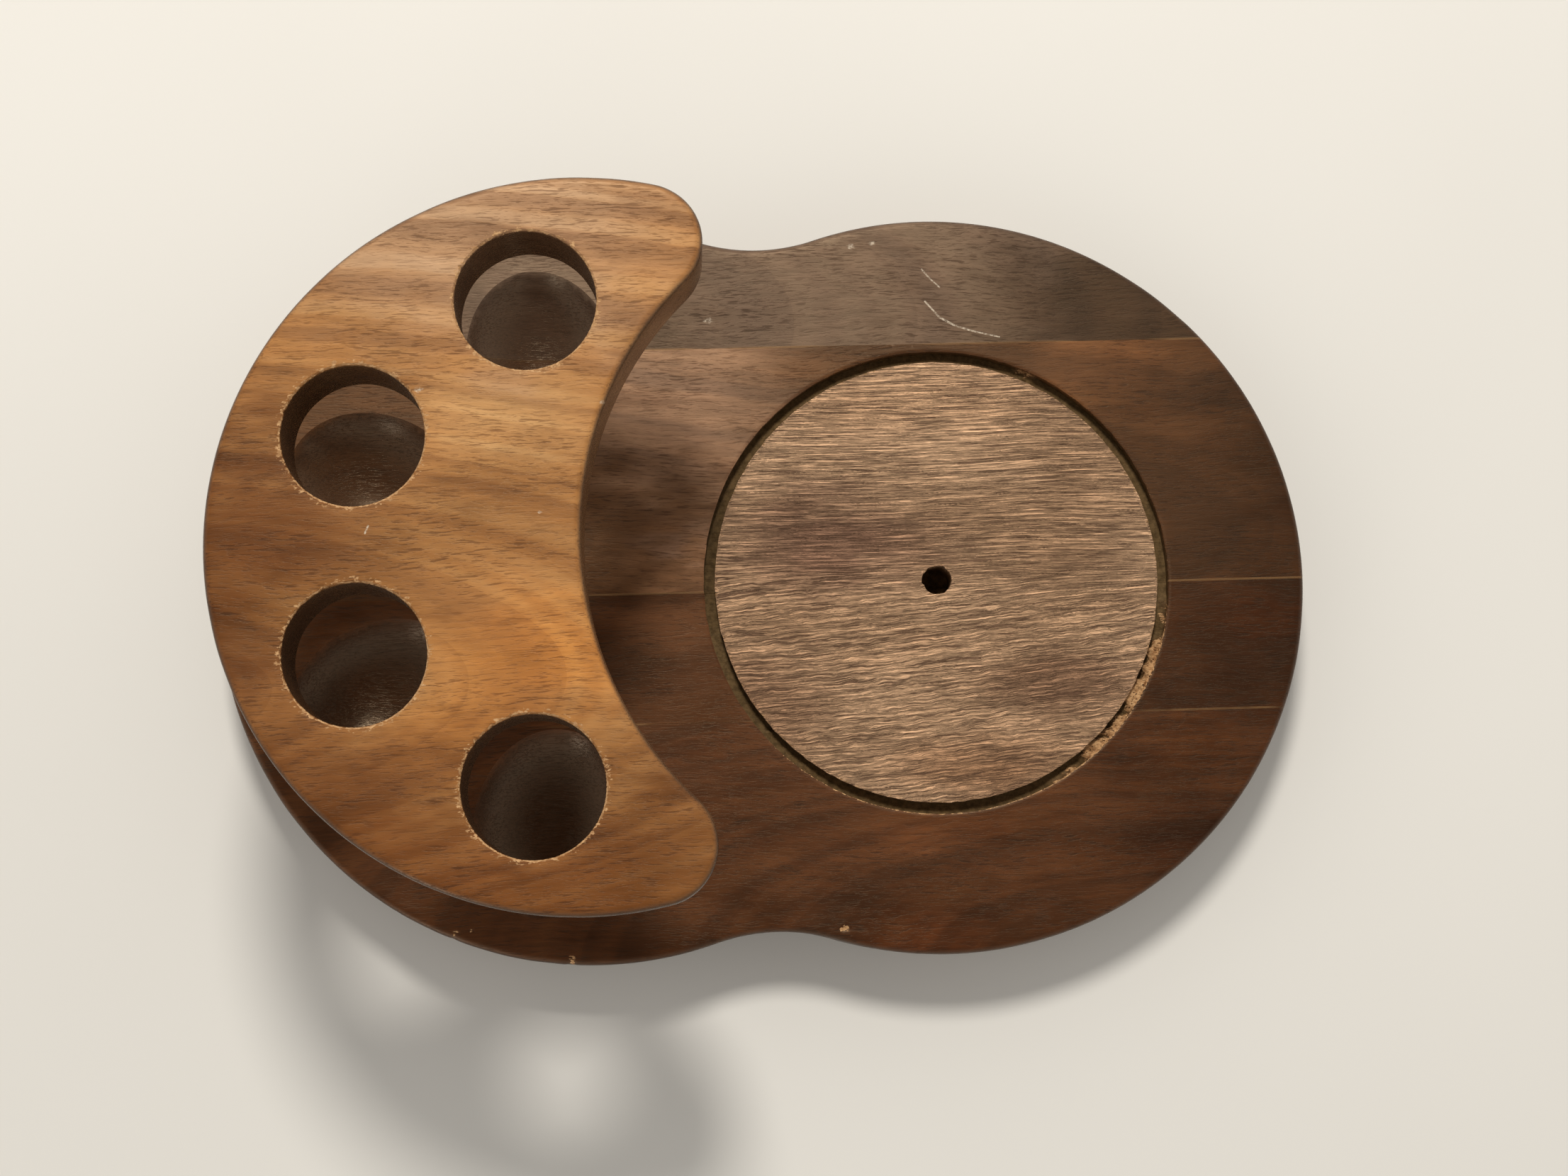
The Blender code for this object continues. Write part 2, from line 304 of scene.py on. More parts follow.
def piece(name, source, material, nodes, cuts=()):
    """Makes an object from a mesh in mm: cut behind each (point, normal), closed and scaled."""
    bm = bmesh.new()
    bm.from_mesh(source)
    bmesh.ops.remove_doubles(bm, verts=bm.verts, dist=MERGE)
    for point, normal in cuts:
        cut = bmesh.ops.bisect_plane(bm, geom=bm.verts[:] + bm.edges[:] + bm.faces[:],
                                     dist=ON_PLANE, plane_co=point, plane_no=normal,
                                     clear_inner=True)
        rim = [e for e in cut["geom_cut"] if isinstance(e, bmesh.types.BMEdge) and e.is_boundary]
        caps = bmesh.ops.edgeloop_fill(bm, edges=rim)["faces"]
        bmesh.ops.triangulate(bm, faces=caps, ngon_method="EAR_CLIP")
    bmesh.ops.recalc_face_normals(bm, faces=bm.faces)
    me = bpy.data.meshes.new(name)
    bm.to_mesh(me)
    bm.free()
    me.transform(Matrix.Scale(MM, 4))
    me.materials.append(material)
    me.shade_smooth()
    me.set_sharp_from_angle(angle=SHARP)
    ob = place(name, me)
    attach(ob, "root")
    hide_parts(*nodes)


# ---------------------------------------------------------------- node trees
class Tree:
    """Short forms for a material's nodes. A value is a socket or a constant."""

    def __init__(self, name):
        self.material = bpy.data.materials.new(name)
        self.material.use_nodes = True
        self.nodes, self.links = self.material.node_tree.nodes, self.material.node_tree.links
        self.shader = self.nodes["Principled BSDF"]

    def add(self, kind, ins, **props):
        n = self.nodes.new(kind)
        for key, value in props.items():
            setattr(n, key, value)
        for key, value in ins.items():
            if isinstance(value, bpy.types.NodeSocket):
                self.links.new(value, n.inputs[key])
            else:
                n.inputs[key].default_value = value
        return n

    def math(self, op, *values, clamp=False):
        n = self.add("ShaderNodeMath", dict(enumerate(values)), operation=op, use_clamp=clamp)
        return n.outputs[0]

    def vec(self, op, *values):
        n = self.add("ShaderNodeVectorMath", dict(enumerate(values)), operation=op)
        return n.outputs["Value" if op in ("LENGTH", "DISTANCE", "DOT_PRODUCT") else "Vector"]

    def xyz(self, x=0.0, y=0.0, z=0.0):
        return self.add("ShaderNodeCombineXYZ", {0: x, 1: y, 2: z}).outputs[0]

    def grey(self, value):
        return self.add("ShaderNodeCombineColor", {0: value, 1: value, 2: value}).outputs[0]

    def noise(self, vector, scale, detail=2.0, rough=0.5):
        n = self.add("ShaderNodeTexNoise", {"Vector": self.vec("MULTIPLY", vector, scale),
                                            "Scale": 1.0, "Detail": detail, "Roughness": rough})
        return n.outputs[0]

    def fit(self, value, lo, hi, to_lo=0.0, to_hi=1.0):
        """The value carried smoothly from the range lo, hi to another."""
        n = self.add("ShaderNodeMapRange", {0: value, 1: lo, 2: hi, 3: to_lo, 4: to_hi},
                     interpolation_type="SMOOTHSTEP")
        return n.outputs[0]

    def mix(self, factor, a, b, blend="MIX"):
        n = self.add("ShaderNodeMix", {0: factor, 6: rgba(a), 7: rgba(b)}, data_type="RGBA",
                     blend_type=blend)
        return n.outputs[2]

    def tint(self, factor, a, b):
        return self.mix(factor, a, b, "MULTIPLY")

    def surface(self, color, rough, bump, strength, depth):
        """Gives the shader its colour, roughness and bump."""
        self.links.new(color, self.shader.inputs["Base Color"])
        self.links.new(rough, self.shader.inputs["Roughness"])
        height = self.add("ShaderNodeBump", {"Strength": strength, "Distance": depth,
                                             "Height": bump})
        self.links.new(height.outputs[0], self.shader.inputs["Normal"])

    def stroke(self, at, a, b, width):
        """1 on the line from a to b (x, y), fading to 0 over its width."""
        a, b = Vector((*a, 0)), Vector((*b, 0))
        rel = self.vec("SUBTRACT", at, a)
        t = self.math("DIVIDE", self.vec("DOT_PRODUCT", rel, b - a), (b - a).length_squared,
                      clamp=True)
        foot = self.add("ShaderNodeVectorMath", {0: b - a, 3: t}, operation="SCALE").outputs[0]
        return self.fit(self.vec("DISTANCE", rel, foot), width, width * 0.3)

    def blob(self, at, x, y, rx, ry):
        """1 in the middle of a soft oval, 0 outside it."""
        rel = self.vec("DIVIDE", self.vec("SUBTRACT", at, (x, y, 0)), (rx, ry, 1))
        return self.fit(self.vec("LENGTH", rel), 1.0, 0.15)


def rgba(c):
    return (*c, 1) if isinstance(c, tuple) and len(c) == 3 else c


def srgb(r, g, b):
    """Linear colour from 8-bit sRGB numbers."""
    return tuple(((c / 255 + 0.055) / 1.055) ** 2.4 for c in (r, g, b))


class Wood(Tree):
    """A wood material, with its coordinates in mm and the paint of its mesh. Grain runs along X."""

    def __init__(self, name, wave, upright):
        super().__init__(name)
        coords = self.add("ShaderNodeTexCoord", {}).outputs["Object"]
        p = self.vec("MULTIPLY", coords, (1 / MM, 1 / MM, 1 / MM))
        x, y, z = self.add("ShaderNodeSeparateXYZ", {0: p}).outputs
        if upright:
            p = self.xyz(z, y, x)
            x, z = z, x
        self.p, self.x, self.y, self.z, self.flat = p, x, y, z, self.xyz(x, y)
        paint = self.add("ShaderNodeAttribute", {}, attribute_name="paint").outputs
        self.bare, self.rim, self.open = self.add("ShaderNodeSeparateColor",
                                                  {0: paint["Color"]}).outputs
        self.relief = paint["Alpha"]
        # the grain wanders a little across the board
        self.slow = self.math("SUBTRACT", self.noise(p, (0.012, 0.03, 0.03), 1.0), 0.5)
        self.quick = self.math("SUBTRACT", self.noise(p, (0.07, 0.16, 0.16)), 0.5)
        drift = self.math("ADD", self.math("MULTIPLY", self.slow, 9.0 * wave),
                          self.math("MULTIPLY", self.quick, 1.6 * wave))
        self.across = self.math("ADD", y, drift)
        self.along = self.xyz(x, self.across, z)

    def rings(self, pith, spacing, top):
        """Lightness of the rings about a slanting pith.

        pith is (y, depth below the face at x=0, depth gained per mm of x)."""
        py, depth, tilt = pith
        deep = self.math("ADD", self.math("MULTIPLY_ADD", self.x, tilt, depth),
                         self.math("SUBTRACT", self.z, top))
        side = self.math("SUBTRACT", self.across, py)
        radius = self.math("SQRT", self.math("ADD", self.math("MULTIPLY", side, side),
                                             self.math("MULTIPLY", deep, deep)))
        phase = self.math("DIVIDE", radius, spacing)
        band = self.add("ShaderNodeTexNoise", {"W": phase, "Scale": 1.0, "Detail": 2.0,
                                               "Roughness": 0.55}, noise_dimensions="1D")
        late = self.fit(self.math("FRACT", phase), 0.35, 1.0)
        return self.math("ADD", self.fit(band.outputs[0], 0.32, 0.68),
                         self.math("MULTIPLY", late, -0.25))

    def patches(self, color, blobs, shake):
        """The colour tinted in soft ovals whose edges wander by a share of their size."""
        sway = self.xyz(self.slow, self.quick)
        for x, y, rx, ry, strength, tint in blobs:
            at = self.vec("ADD", self.flat, self.vec("MULTIPLY", sway, (rx * shake, ry * shake, 0)))
            shape = self.math("MULTIPLY", self.blob(at, x, y, rx, ry), strength)
            color = self.tint(shape, color, tint)
        return color

    def pores(self):
        """Long and short pores, closer together in some bands than in others."""
        dense = self.fit(self.noise(self.along, (0.04, 0.12, 0.12)), 0.35, 0.6, 0.45, 1.0)
        coarse = self.fit(self.noise(self.along, (0.25, 2.8, 2.8), 2.0, 0.55), 0.54, 0.65)
        small = self.fit(self.noise(self.along, (0.5, 4.4, 4.4), 2.0, 0.55), 0.56, 0.70, 0.0, 0.7)
        return self.math("MULTIPLY", self.math("MAXIMUM", coarse, small), dense)

    def unfinished(self):
        """Colour and height of the unfinished disc: weathered grey wood, with painted highlight on
        the crests of its raised grain and painted shade in its valleys.
        """
        grey = self.mix(self.fit(self.noise(self.p, (0.02, 0.05, 0.05), 3.0), 0.3, 0.7),
                        RAW_DULL, RAW_PALE)
        grey = self.patches(grey, GREY_PATCHES, 1.0)
        low = self.fit(self.y, 6.0, -8.0)    # straight above, wavy and slanting below
        sway = self.math("MULTIPLY_ADD", self.math("SUBTRACT", self.x, JAR_X), -0.09,
                         self.math("MULTIPLY", self.noise(self.p, (0.26, 0.45, 0.45), 1.0), 1.1))
        calm = self.math("MULTIPLY_ADD", self.slow, 5.0,
                         self.math("MULTIPLY_ADD", self.quick, 0.5, self.y))
        wavy = self.xyz(self.x, self.math("MULTIPLY_ADD", sway, low, calm), self.z)
        lines = self.noise(wavy, (0.07, 3.2, 3.2), 3.0, 0.66)
        hairs = self.noise(wavy, (0.18, 4.8, 4.8), 2.0, 0.55)
        crest = self.math("ADD", self.math("MULTIPLY", self.relief, 0.22),
                          self.math("ADD", self.fit(lines, 0.42, 0.58, 0.05, 0.55),
                                    self.fit(hairs, 0.42, 0.58, 0.0, 0.28)))
        # painted highlight on the crests, then painted shade in the valleys
        grey = self.tint(1.0, grey, self.grey(self.fit(crest, 0.50, 0.92, 1.0, 1.7)))
        return self.mix(self.fit(crest, 0.40, 0.20, 0.0, 0.85), grey, RAW_VALLEY_SHADE), crest

    def glue(self, color):
        """The colour with light, broken lines where the boards are glued."""
        for at in GLUE_LINES:
            near = self.fit(self.math("ABSOLUTE", self.math("SUBTRACT", self.y, at)), 0.32, 0.08)
            broken = self.fit(self.noise(self.p, (0.05, 0.3, 0.3), 3.0), 0.42, 0.6, 0.04, 0.5)
            broken = self.math("MULTIPLY", broken, self.math("SUBTRACT", 1.0, self.open))
            color = self.mix(self.math("MULTIPLY", near, broken), color, GLUE)
        return color

    def flaws(self, strokes, specks, top):
        """Pale scratches and flecks on the upper face."""
        marks = [self.stroke(self.flat, *stroke) for stroke in strokes]
        shake = self.xyz(self.noise(self.p, (0.9, 1.6, 0), 3.0),
                         self.noise(self.p, (1.7, 1.1, 0), 3.0))
        for x, y, size in specks:
            at = self.vec("ADD", self.flat,
                          self.vec("MULTIPLY", shake, (size * 1.4, size * 1.4, 0)))
            marks.append(self.blob(at, x + size * 0.7, y + size * 0.7, size * 1.2, size * 0.8))
        mark = marks[0]
        for other in marks[1:]:
            mark = self.math("MAXIMUM", mark, other)
        broken = self.fit(self.noise(self.p, (1.4, 1.4, 1.4), 3.0, 0.7), 0.38, 0.6, 0.15, 0.9)
        face = self.math("GREATER_THAN", self.z, top - 1.0)
        return self.math("MULTIPLY", self.math("MULTIPLY", mark, broken), face)


def walnut(name, light, mid, dark, edge, pith, spacing, blobs=(), strokes=(), specks=(),
           streak=0.6, pore=0.8, wave=1.0, figure=0.5, top=BASE_T, board=False, upright=False):
    """Walnut: rings, fibre, pores and smoke, then dirt, edges, bare places and marks. The edge
    colour is partly painted shade in the dishes, and some bare rims are partly painted highlight.

    A board also has the glue lines and its share of the unfinished disc."""
    t = Wood(name, wave, upright)
    tone = t.rings(pith, spacing, top)
    color = t.mix(t.fit(tone, -0.1, 0.5), dark, mid)
    color = t.mix(t.fit(tone, 0.35, 1.05), color, light)
    color = t.mix(figure, mid, color)

    fibre = t.noise(t.along, (0.11, 1.25, 1.25), 4.0, 0.65)
    fine = t.noise(t.along, (0.15, 3.1, 3.1), 3.0, 0.62)
    mottle = t.noise(t.p, (0.035, 0.06, 0.06), 3.0, 0.6)
    shade = t.math("ADD", t.fit(fibre, 0.3, 0.72, 1.0 - 0.30 * streak, 1.0 + 0.22 * streak),
                   t.fit(mottle, 0.25, 0.75, -0.13, 0.12))
    # ovals of the wood's own tone; some pale grey ones on the boards and the shelf are painted
    # sheen and painted light
    color = t.patches(t.tint(1.0, color, t.grey(shade)), blobs, 1.2)
    smoke = t.fit(t.noise(t.along, (0.045, 0.17, 0.17), 5.0, 0.62), 0.50, 0.66, 0.0, 0.5)
    color = t.tint(smoke, color, SMOKE)
    pores = t.pores()
    color = t.tint(t.math("MULTIPLY", pores, pore), color, PORE)
    bump = t.math("ADD", t.math("MULTIPLY", pores, -0.03), t.math("MULTIPLY", fibre, 0.035))
    rough = t.math("ADD", t.fit(mottle, 0.2, 0.8, 0.36, 0.45), t.math("MULTIPLY", pores, 0.15))

    if board:
        grey, crest = t.unfinished()
        color = t.glue(t.mix(t.open, color, grey))
        bump = t.math("ADD", bump, t.math("MULTIPLY", t.math("MULTIPLY", crest, 0.9), t.open))
        rough = t.math("ADD", rough, t.math("MULTIPLY", t.open, 0.22))

    dirt = t.math("MULTIPLY", t.relief, t.math("SUBTRACT", 1.0, t.open))
    grit = t.fit(t.noise(t.p, (0.8, 0.8, 0.8), 4.0, 0.7), 0.3, 0.7)
    color = t.mix(dirt, color, t.mix(grit, DIRT_DARK, DIRT_PALE))
    rough = t.math("ADD", rough, t.math("MULTIPLY", dirt, 0.25))
    # darker, smoother eased edges (in the dishes partly painted shade), then bare wood where the
    # finish is gone (on the groove's lower lip and the stem holes' lower rims partly painted
    # highlight)
    rim = t.math("MULTIPLY", t.rim, t.fit(fibre, 0.2, 0.8, 0.75, 1.0))
    rough = t.math("MULTIPLY_ADD", t.rim, -0.17, rough)
    darker = tuple(c * 0.5 for c in edge)
    color = t.mix(rim, color, t.mix(t.fit(fine, 0.35, 0.7), edge, darker))
    frayed = t.fit(t.noise(t.p, (0.9, 1.7, 1.7), 3.0, 0.65), 0.3, 0.7, -0.5, 0.5)
    torn = t.math("MULTIPLY", t.fit(t.math("ADD", t.bare, frayed), 0.40, 0.62),
                  t.fit(t.bare, 0.02, 0.12))
    fresh = t.fit(t.noise(t.p, (1.1, 2.0, 2.0), 3.0), 0.35, 0.65)
    color = t.mix(torn, color, t.mix(fresh, TORN_DARK, TORN_PALE))
    rough = t.math("ADD", rough, t.math("MULTIPLY", torn, 0.25))
    if strokes or specks:
        mark = t.flaws(strokes, specks, top)
        color = t.mix(mark, color, SCRATCH)
        bump = t.math("ADD", bump, t.math("MULTIPLY", mark, -0.05))

    t.surface(color, rough, bump, 1.0, MM)
    t.shader.inputs["Specular IOR Level"].default_value = 0.36
    t.shader.inputs["Specular Tint"].default_value = (1.0, 0.74, 0.48, 1)
    return t.material


# ---------------------------------------------------------------- materials
SMOKE, PORE = (0.52, 0.44, 0.40), (0.40, 0.34, 0.32)    # these two multiply the wood's colour
DIRT_DARK, DIRT_PALE = srgb(72, 54, 30), srgb(110, 86, 54)
TORN_DARK, TORN_PALE = srgb(158, 116, 76), srgb(200, 158, 112)
SCRATCH, GLUE, EDGE = srgb(206, 190, 168), srgb(150, 112, 72), srgb(64, 44, 30)
RAW_DULL, RAW_PALE, RAW_VALLEY_SHADE = srgb(177, 139, 106), srgb(202, 162, 126), srgb(84, 58, 44)

# patches and blobs are (x, y, x radius, y radius, strength, colour that multiplies the wood's)
GREY_PATCHES = [(16, 9, 34, 18, 0.9, (0.46, 0.39, 0.42)),
                (-1, -26, 26, 16, 0.7, (0.60, 0.52, 0.50)),
                (69, -24, 30, 12, 0.9, (0.46, 0.40, 0.39)),
                (50, -42, 30, 11, 0.8, (0.66, 0.55, 0.48)),
                (66, 2, 26, 9, 0.5, (0.75, 0.72, 0.70)),
                (40, 42, 40, 12, 0.8, (1.40, 1.38, 1.36))]

SCRATCHES = [((38.0, 63.9), (41.1, 60.2), 0.30), ((41.1, 60.2), (44.3, 58.3), 0.34),
             ((44.3, 58.3), (48.2, 56.9), 0.30), ((48.2, 56.9), (54.6, 55.3), 0.26),
             ((37.5, 71.4), (39.3, 69.2), 0.26), ((39.3, 69.2), (41.4, 67.2), 0.24)]
RIGHT = (124, 10, 60, 110, 1.0, (0.46, 0.38, 0.31))    # the jar end is darker
boards = [
    dict(name="walnut_lower", light=srgb(100, 59, 31), mid=srgb(84, 47, 24), dark=srgb(58, 32, 17),
         pith=(-84.0, 30.0, -0.35), spacing=5.0,
         blobs=[RIGHT, (20, -92, 150, 34, 1.0, (0.46, 0.40, 0.34)),
                (36, -80, 20, 10, 0.9, (1.7, 1.5, 1.35)),
                (102, -60, 38, 15, 1.0, (0.36, 0.25, 0.16)),
                (98, -38, 18, 10, 0.7, (1.5, 1.5, 1.35)),
                (38, -56, 24, 7, 0.7, (1.6, 1.6, 1.6)),
                (-40, -60, 50, 30, 0.6, (0.78, 0.76, 0.76))]),
    dict(name="walnut_middle", light=srgb(98, 57, 29), mid=srgb(82, 46, 23), dark=srgb(56, 31, 16),
         pith=(-10.0, 60.0, 0.05), spacing=4.0,
         # the pale grey oval at (-22, -8) is painted light and sheen on the board beside the shelf
         blobs=[RIGHT, (-22, -8, 30, 9, 0.8, (2.4, 2.6, 2.8)),
                (113, -10, 18, 8, 0.7, (1.8, 1.6, 1.3)),
                (-22, -26, 30, 10, 0.7, (0.7, 0.66, 0.62))]),
    dict(name="walnut_upper", light=srgb(106, 68, 39), mid=srgb(88, 55, 31), dark=srgb(60, 37, 22),
         pith=(10.0, 46.0, 0.12), spacing=4.6,
         # the pale grey ovals at (-14, 42) and (-20, 6) are painted sheen and painted light on the
         # board near the shelf
         blobs=[RIGHT, (-14, 42, 44, 38, 0.95, (3.3, 4.6, 7.2)),
                (-20, 6, 24, 12, 0.8, (2.9, 3.5, 4.6)),
                (116, 28, 18, 14, 0.8, (0.6, 0.6, 0.6)),
                (80, 48, 26, 13, 0.8, (1.9, 1.85, 1.75))]),
    dict(name="walnut_back", light=srgb(119, 97, 77), mid=srgb(107, 84, 67), dark=srgb(80, 62, 51),
         pith=(60.0, 40.0, 0.25), spacing=7.0, figure=0.6,
         blobs=[(96, 58, 58, 44, 1.0, (0.32, 0.25, 0.19)),
                (-24, 60, 14, 14, 0.9, (0.44, 0.40, 0.36)),
                (10, 80, 50, 20, 0.5, (1.15, 1.12, 1.1))],
         strokes=SCRATCHES, specks=[(21.5, 77.0, 0.9), (26.4, 77.7, 0.8), (-11.4, 60.5, 1.0)]),
]
board_materials = [walnut(edge=EDGE, board=True, **b) for b in boards]
shelf_material = walnut(
    "shelf_walnut", srgb(194, 144, 89), srgb(168, 115, 64), srgb(116, 71, 38),
    edge=srgb(66, 44, 28), pith=(-27.0, 46.0, 0.30), spacing=5.6, top=SHELF_TOP,
    streak=0.34, pore=0.78, wave=0.8, figure=0.45,
    # the pale grey ovals at (-54, 60) and (-52, 24) are partly paler wood, partly painted sheen
    blobs=[(-54, 60, 64, 32, 0.9, (1.12, 1.42, 2.4)),
           (-52, 24, 28, 14, 0.8, (1.38, 1.66, 2.1)),
           (-110, -2, 46, 50, 1.0, (0.42, 0.32, 0.26)),
           (-56, 2, 26, 14, 0.6, (0.72, 0.66, 0.62)),
           (-46, -22, 24, 15, 0.9, (1.35, 1.20, 0.88)),
           (-62, -36, 22, 12, 0.7, (1.18, 1.08, 0.86)),
           (-66, -66, 80, 34, 1.0, (0.46, 0.35, 0.28)),
           (-26, -54, 24, 22, 0.7, (0.62, 0.56, 0.52)),
           (-92, -44, 36, 22, 0.9, (0.56, 0.46, 0.40)),
           (-102, -22, 24, 13, 0.8, (0.68, 0.60, 0.62))],
    strokes=[((-78.9, 3.5), (-79.5, 2.1), 0.25)],
    specks=[(-69.0, 30.1, 0.9), (-46.0, 5.4, 0.5), (-33.4, 26.8, 0.6)])
post_material = walnut("post_walnut", srgb(110, 74, 48), srgb(88, 58, 37), srgb(60, 40, 26),
                       edge=srgb(84, 58, 40), pith=(-6.0, 34.0, 0.0), spacing=3.5,
                       top=POST_XY[0][0], upright=True)


def steel():
    t = Tree("screw_steel")
    coords = t.add("ShaderNodeTexCoord", {}).outputs["Object"]
    p = t.vec("MULTIPLY", coords, (1 / MM, 1 / MM, 1 / MM))
    cloud = t.noise(p, (0.6, 0.6, 0.6), 4.0, 0.6)
    lines = t.noise(p, (6.0, 0.8, 0.8), 3.0)
    dull = t.fit(cloud, 0.4, 0.7)
    rough = t.math("ADD", t.fit(lines, 0.3, 0.7, 0.25, 0.4), t.math("MULTIPLY", dull, 0.15))
    t.surface(t.mix(dull, srgb(196, 194, 186), srgb(150, 146, 136)), rough, lines, 0.3, 0.1 * MM)
    t.shader.inputs["Metallic"].default_value = 1.0
    return t.material


# ---------------------------------------------------------------- base
# x, y, size and depth
CHIPS = [(15.0, -76.6, 0.8, 0.30), (5.3, -76.6, 0.5, 0.25), (-6.3, -76.6, 0.4, 0.22),
         (-82.6, -68.9, 0.4, 0.22), (-70.1, -74.9, 0.6, 0.25), (-66.5, -74.6, 0.35, 0.22),
         (-44.7, -81.0, 0.6, 0.22), (-100.0, -55.0, 0.5, 0.22), (104.0, -50.0, 0.6, 0.25)]

# stretches of the groove, in degrees, and how far they have crumbled
CRUMBLED = [(-36, -17, 1.0), (-52, -38, 0.75), (-62, -55, 0.5), (62, 68, 0.45),
            (-142, -122, 0.25), (-13, -6, 0.35)]


def chip(p):
    """Depth of the small chips along the base's upper edge."""
    deep = np.zeros(len(p))
    for x, y, size, depth in CHIPS:
        d = np.hypot((p[:, 0] - x) / 1.8, p[:, 1] - y) / size
        deep = np.maximum(deep, depth * smooth(1.2, 0.4, d))
    return deep * (0.75 + 0.25 * noise(p[:, 0] * 2, p[:, 1] * 2, 5))


def about_jar(p):
    """Distance from the jar seat's centre, and angle about it in degrees."""
    return np.hypot(p[:, 0] - JAR_X, p[:, 1]), np.degrees(np.arctan2(p[:, 1], p[:, 0] - JAR_X))


def disc_relief(p):
    """Raised grain of the unfinished disc, 0 to 1: straight above, wavy and slanting below."""
    x, y = p[:, 0] - JAR_X, p[:, 1]
    low = smooth(6, -8, y)
    yy = y - 0.09 * low * x + (0.18 + 0.40 * low) * noise(x / 4.5, y / 2.5, 11)
    yy = yy + 1.2 * noise(x / 30, y / 24, 12)
    length = 15 - 9 * low
    h = (0.50 * noise(x / length, yy / 0.62, 13) + 0.45 * noise(x / (0.5 * length), yy / 0.36, 14)
         + 0.25 * noise(x / 16, yy / 2.5, 15))
    return np.clip(0.55 + 0.62 * h, 0, 1)


def crumble(p):
    """How far torn wood fills the groove: strong at the lower right, little elsewhere."""
    r, a = about_jar(p)
    patch = np.zeros(len(p))
    for start, end, amount in CRUMBLED:
        patch = np.maximum(patch, amount * smooth(start - 3, start + 2, a)
                           * smooth(end + 3, end - 2, a))
    rough = 0.5 + 0.5 * noise(p[:, 0] / 1.3, p[:, 1] / 1.0, 21)
    outer = smooth(GROOVE_R - GROOVE_W, GROOVE_R, r)
    return patch * np.clip(0.25 + 0.6 * outer + 0.9 * (rough - 0.45), 0, 1)


def wobble(loop, amount, seed, pitch):
    """The loop with its radius made a little uneven."""
    out = loop.copy()
    s = np.cumsum(np.hypot(*np.diff(loop[:, :2], axis=0, prepend=loop[:1, :2]).T))
    fade = np.minimum(1, np.minimum(s, s[-1] - s) / 3)
    out[:, :2] += loop[:, 2:] * (amount * fade * noise(s / pitch, 0.5, seed))[:, None]
    return out


DISHES = []    # each dish's centre, long way and short way
for angle in ANGLES:
    turn = math.radians(angle)
    DISHES.append((polar(DISH_RING_R, angle), np.array((math.cos(turn), math.sin(turn))),
                   np.array((-math.sin(turn), math.cos(turn)))))


def dish_drop(p):
    """How far the face is below the plane in the four dishes."""
    lift = DISH_CURVE - DISH_DEEP
    swell = math.sqrt(1 - (lift / DISH_CURVE) ** 2)
    drop = np.zeros(len(p))
    for centre, ahead, side in DISHES:
        rel = p - centre
        q = (rel @ ahead * swell / DISH_A) ** 2 + (rel @ side * swell / DISH_B) ** 2
        drop = np.maximum(drop, DISH_CURVE * np.sqrt(np.clip(1 - q, 0, 1)) - lift)
    return drop


def dish_loop(centre, ahead, side):
    a = np.radians(np.arange(0, 360, 2.5))
    xy = centre + np.outer(np.cos(a) * DISH_A, ahead) + np.outer(np.sin(a) * DISH_B, side)
    return np.hstack((xy, xy * 0))


# kinds of triangle: those of the base's upper face, then those of its underside
FACE, GROOVE, DISC, PILOT = range(4)
HEAD, BORE = 1, 2
GROOVE_IN_R = GROOVE_R - GROOVE_W
BORE_TOP = 8.0    # the screw's bore is closed at this height, where the screw hides it


def in_dish(q):
    return dish_drop(q) > 0


def in_groove(q):
    r, _ = about_jar(q)
    return (r < GROOVE_R) & (r > GROOVE_IN_R)


def in_disc(q):
    return about_jar(q)[0] < GROOVE_IN_R


def base_face(q):
    """The plane with its dishes, chips, faint dents and the groove's outer lip, bare along its
    lower side.
    """
    r, a = about_jar(q)
    lip = smooth(GROOVE_R + 0.27, GROOVE_R - 0.05, r)
    # the lip is bare only along its lower side: wear there, and partly a painted highlight where
    # the edge faces the light
    bare_share = 0.1 + 0.9 * smooth(-140, -125, a) * smooth(-5, -15, a)
    bare = lip * bare_share * (0.75 + 0.25 * noise(q[:, 0], q[:, 1], 41))
    drop, c = dish_drop(q), chip(q)
    dents = 0.02 * noise(q[:, 0] / 9, q[:, 1] / 5, 42) - 0.02
    z = BASE_T - drop - 0.14 * lip - c + dents * (drop == 0) * (r > GROOVE_R + 1)
    # in the dishes the dark edge colour is partly their stain, partly painted shade from the shelf
    # and the dishes' own rims
    return z, painted(len(q), np.maximum(bare, smooth(0.08, 0.22, c)), 0.85 * smooth(0, 0.5, drop))


def groove_floor(q):
    fill = crumble(q)
    depth = GROOVE_DEEP * (1 - 0.88 * fill) - 0.08 * noise(q[:, 0], q[:, 1], 43)
    bare = 0.85 * smooth(0.18, 0.5, fill)
    return BASE_T - depth, painted(len(q), bare, relief=1 - bare)


def disc_face(q):
    r, _ = about_jar(q)
    rel = disc_relief(q)
    near = np.maximum(smooth(GROOVE_IN_R - 0.7, GROOVE_IN_R, r), smooth(PILOT_R + 0.8, PILOT_R, r))
    z = BASE_T - 0.22 * (1 - rel) - 0.12 * near
    return z, painted(len(q), 0.25 * near, open_=1, relief=rel)


def pilot_floor(q):
    r, _ = about_jar(q)
    z = BASE_T - PILOT_DEEP + 0.8 * noise(q[:, 0], q[:, 1], 44) - 1.2 * smooth(3, 0, r)
    return z, painted(len(q), relief=1)


def base_under(q):
    return np.zeros(len(q)), painted(len(q), rim=0.3)


def screw_cone(q):
    slope = (SCREW_HEAD_H + FIT) / (SCREW_HEAD_R - SCREW_R)
    z = SCREW_SINK + (SCREW_HEAD_R + FIT - nearest(q, POST_XY)) * slope
    return z, painted(len(q), rim=0.8)


def bore_end(q):
    return np.full(len(q), BORE_TOP), painted(len(q), rim=0.8)


